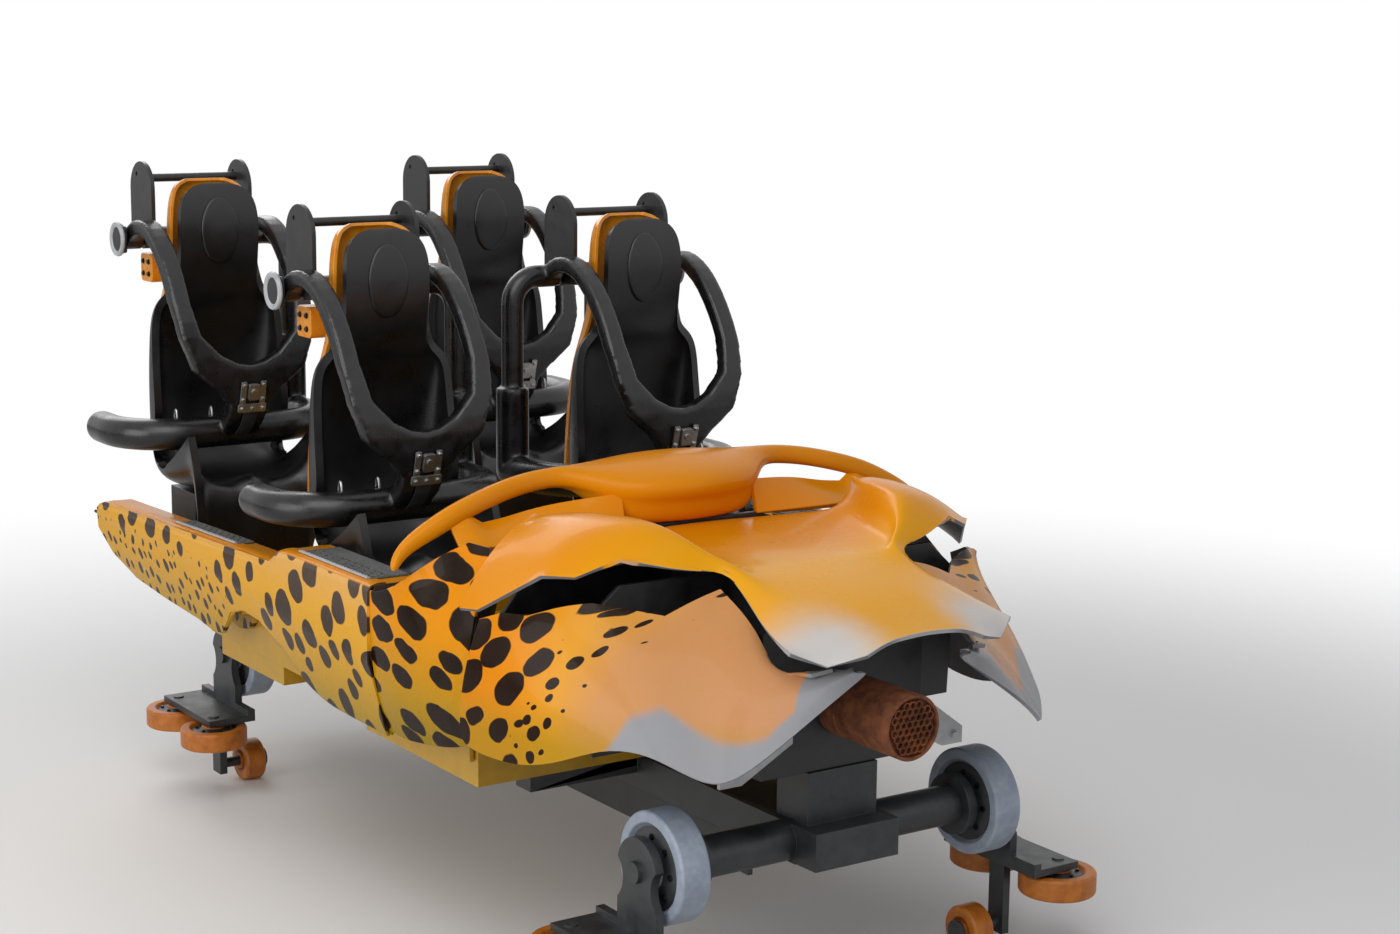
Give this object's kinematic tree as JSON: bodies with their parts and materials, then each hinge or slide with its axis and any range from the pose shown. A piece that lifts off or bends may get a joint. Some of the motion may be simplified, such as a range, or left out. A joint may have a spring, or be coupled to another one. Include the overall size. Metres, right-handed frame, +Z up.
{
  "type": "roller coaster car",
  "caption": "Lead car of a roller coaster train: moulded seats with shoulder and lap restraints, a swept nose with a crash buffer, and running, guide and up-stop wheels.",
  "frame": {"origin": "on the floor below the middle of the car, where the up-stop wheels stand", "axes": "+X forward along the track, +Y to the riders' left, +Z up"},
  "size_m": [3.1199, 1.614, 1.819],
  "materials": {
    "dark_steel": "satin",
    "black_steel": "satin",
    "black_moulding": "satin",
    "yellow_floor": "satin",
    "orange_paint": "gloss",
    "peach_paint": "gloss",
    "glossy_nose": "gloss",
    "rusted_honeycomb": "matte",
    "grip_sheet": "matte",
    "orange_shell": "gloss",
    "black_rubber": "matte",
    "running_tread": "satin",
    "amber_tread": "satin"
  },
  "bodies": {
    "car": {"chassis": "dark_steel", "floor_tub": "yellow_floor", "firewall": "black_moulding", "side_panel_right": "orange_paint", "side_panel_left": "orange_paint", "waist_panels": "orange_paint", "cowl": "glossy_nose", "nose_hood": "glossy_nose", "cheek_right": "peach_paint", "cheek_left": "peach_paint", "nose_frame": "black_steel", "crash_buffer": "rusted_honeycomb", "grip_plates": "grip_sheet", "seat_bases": "black_steel", "seat_front_right": "black_moulding", "seat_front_left": "black_moulding", "seat_rear_right": "black_moulding", "seat_rear_left": "black_moulding", "seat_backs": "orange_shell", "head_frames": "black_steel", "carrier_front_right": "dark_steel", "carrier_front_left": "dark_steel", "carrier_rear_right": "dark_steel", "carrier_rear_left": "dark_steel"},
    "restraint_front_right_body": {"restraint_front_right": "black_rubber"},
    "restraint_front_left_body": {"restraint_front_left": "black_rubber"},
    "restraint_rear_right_body": {"restraint_rear_right": "black_rubber"},
    "restraint_rear_left_body": {"restraint_rear_left": "black_rubber"},
    "run_wheel_front_right_body": {"run_wheel_front_right": "running_tread"},
    "run_wheel_front_left_body": {"run_wheel_front_left": "running_tread"},
    "run_wheel_rear_right_body": {"run_wheel_rear_right": "running_tread"},
    "run_wheel_rear_left_body": {"run_wheel_rear_left": "running_tread"},
    "guide_wheel_front_right_a_body": {"guide_wheel_front_right_a": "amber_tread"},
    "guide_wheel_front_left_a_body": {"guide_wheel_front_left_a": "amber_tread"},
    "guide_wheel_rear_right_a_body": {"guide_wheel_rear_right_a": "amber_tread"},
    "guide_wheel_rear_left_a_body": {"guide_wheel_rear_left_a": "amber_tread"},
    "guide_wheel_front_right_b_body": {"guide_wheel_front_right_b": "amber_tread"},
    "guide_wheel_front_left_b_body": {"guide_wheel_front_left_b": "amber_tread"},
    "guide_wheel_rear_right_b_body": {"guide_wheel_rear_right_b": "amber_tread"},
    "guide_wheel_rear_left_b_body": {"guide_wheel_rear_left_b": "amber_tread"},
    "upstop_wheel_front_right_body": {"upstop_wheel_front_right": "amber_tread"},
    "upstop_wheel_front_left_body": {"upstop_wheel_front_left": "amber_tread"},
    "upstop_wheel_rear_right_body": {"upstop_wheel_rear_right": "amber_tread"},
    "upstop_wheel_rear_left_body": {"upstop_wheel_rear_left": "amber_tread"}
  },
  "joints": [
    {"name": "restraint_front_right_hinge", "type": "hinge", "parent": "car", "child": "restraint_front_right_body", "pos_m": [-0.385, -0.4, 1.53], "axis": [0, -1, 0], "range_deg": [0, 95]},
    {"name": "restraint_front_left_hinge", "type": "hinge", "parent": "car", "child": "restraint_front_left_body", "pos_m": [-0.385, 0.4, 1.53], "axis": [0, -1, 0], "range_deg": [0, 95]},
    {"name": "restraint_rear_right_hinge", "type": "hinge", "parent": "car", "child": "restraint_rear_right_body", "pos_m": [-1.345, -0.452, 1.594], "axis": [0, -1, 0], "range_deg": [0, 95]},
    {"name": "restraint_rear_left_hinge", "type": "hinge", "parent": "car", "child": "restraint_rear_left_body", "pos_m": [-1.345, 0.452, 1.594], "axis": [0, -1, 0], "range_deg": [0, 95]},
    {"name": "run_wheel_front_right_spin", "type": "hinge", "parent": "car", "child": "run_wheel_front_right_body", "pos_m": [1.215, -0.45, 0.39], "axis": [0, 1, 0], "continuous": true},
    {"name": "run_wheel_front_left_spin", "type": "hinge", "parent": "car", "child": "run_wheel_front_left_body", "pos_m": [1.215, 0.45, 0.39], "axis": [0, 1, 0], "continuous": true},
    {"name": "run_wheel_rear_right_spin", "type": "hinge", "parent": "car", "child": "run_wheel_rear_right_body", "pos_m": [-1.02, -0.45, 0.39], "axis": [0, 1, 0], "continuous": true},
    {"name": "run_wheel_rear_left_spin", "type": "hinge", "parent": "car", "child": "run_wheel_rear_left_body", "pos_m": [-1.02, 0.45, 0.39], "axis": [0, 1, 0], "continuous": true},
    {"name": "upstop_wheel_front_right_spin", "type": "hinge", "parent": "car", "child": "upstop_wheel_front_right_body", "pos_m": [1.215, -0.45, 0.06], "axis": [0, 1, 0], "continuous": true},
    {"name": "upstop_wheel_front_left_spin", "type": "hinge", "parent": "car", "child": "upstop_wheel_front_left_body", "pos_m": [1.215, 0.45, 0.06], "axis": [0, 1, 0], "continuous": true},
    {"name": "upstop_wheel_rear_right_spin", "type": "hinge", "parent": "car", "child": "upstop_wheel_rear_right_body", "pos_m": [-1.02, -0.45, 0.06], "axis": [0, 1, 0], "continuous": true},
    {"name": "upstop_wheel_rear_left_spin", "type": "hinge", "parent": "car", "child": "upstop_wheel_rear_left_body", "pos_m": [-1.02, 0.45, 0.06], "axis": [0, 1, 0], "continuous": true},
    {"name": "guide_wheel_front_right_a_spin", "type": "hinge", "parent": "car", "child": "guide_wheel_front_right_a_body", "pos_m": [1.343, -0.615, 0.19], "axis": [0, 0, 1], "continuous": true},
    {"name": "guide_wheel_front_left_a_spin", "type": "hinge", "parent": "car", "child": "guide_wheel_front_left_a_body", "pos_m": [1.343, 0.615, 0.19], "axis": [0, 0, 1], "continuous": true},
    {"name": "guide_wheel_rear_right_a_spin", "type": "hinge", "parent": "car", "child": "guide_wheel_rear_right_a_body", "pos_m": [-0.892, -0.615, 0.19], "axis": [0, 0, 1], "continuous": true},
    {"name": "guide_wheel_rear_left_a_spin", "type": "hinge", "parent": "car", "child": "guide_wheel_rear_left_a_body", "pos_m": [-0.892, 0.615, 0.19], "axis": [0, 0, 1], "continuous": true},
    {"name": "guide_wheel_front_right_b_spin", "type": "hinge", "parent": "car", "child": "guide_wheel_front_right_b_body", "pos_m": [1.087, -0.615, 0.19], "axis": [0, 0, 1], "continuous": true},
    {"name": "guide_wheel_front_left_b_spin", "type": "hinge", "parent": "car", "child": "guide_wheel_front_left_b_body", "pos_m": [1.087, 0.615, 0.19], "axis": [0, 0, 1], "continuous": true},
    {"name": "guide_wheel_rear_right_b_spin", "type": "hinge", "parent": "car", "child": "guide_wheel_rear_right_b_body", "pos_m": [-1.148, -0.615, 0.19], "axis": [0, 0, 1], "continuous": true},
    {"name": "guide_wheel_rear_left_b_spin", "type": "hinge", "parent": "car", "child": "guide_wheel_rear_left_b_body", "pos_m": [-1.148, 0.615, 0.19], "axis": [0, 0, 1], "continuous": true}
  ]
}
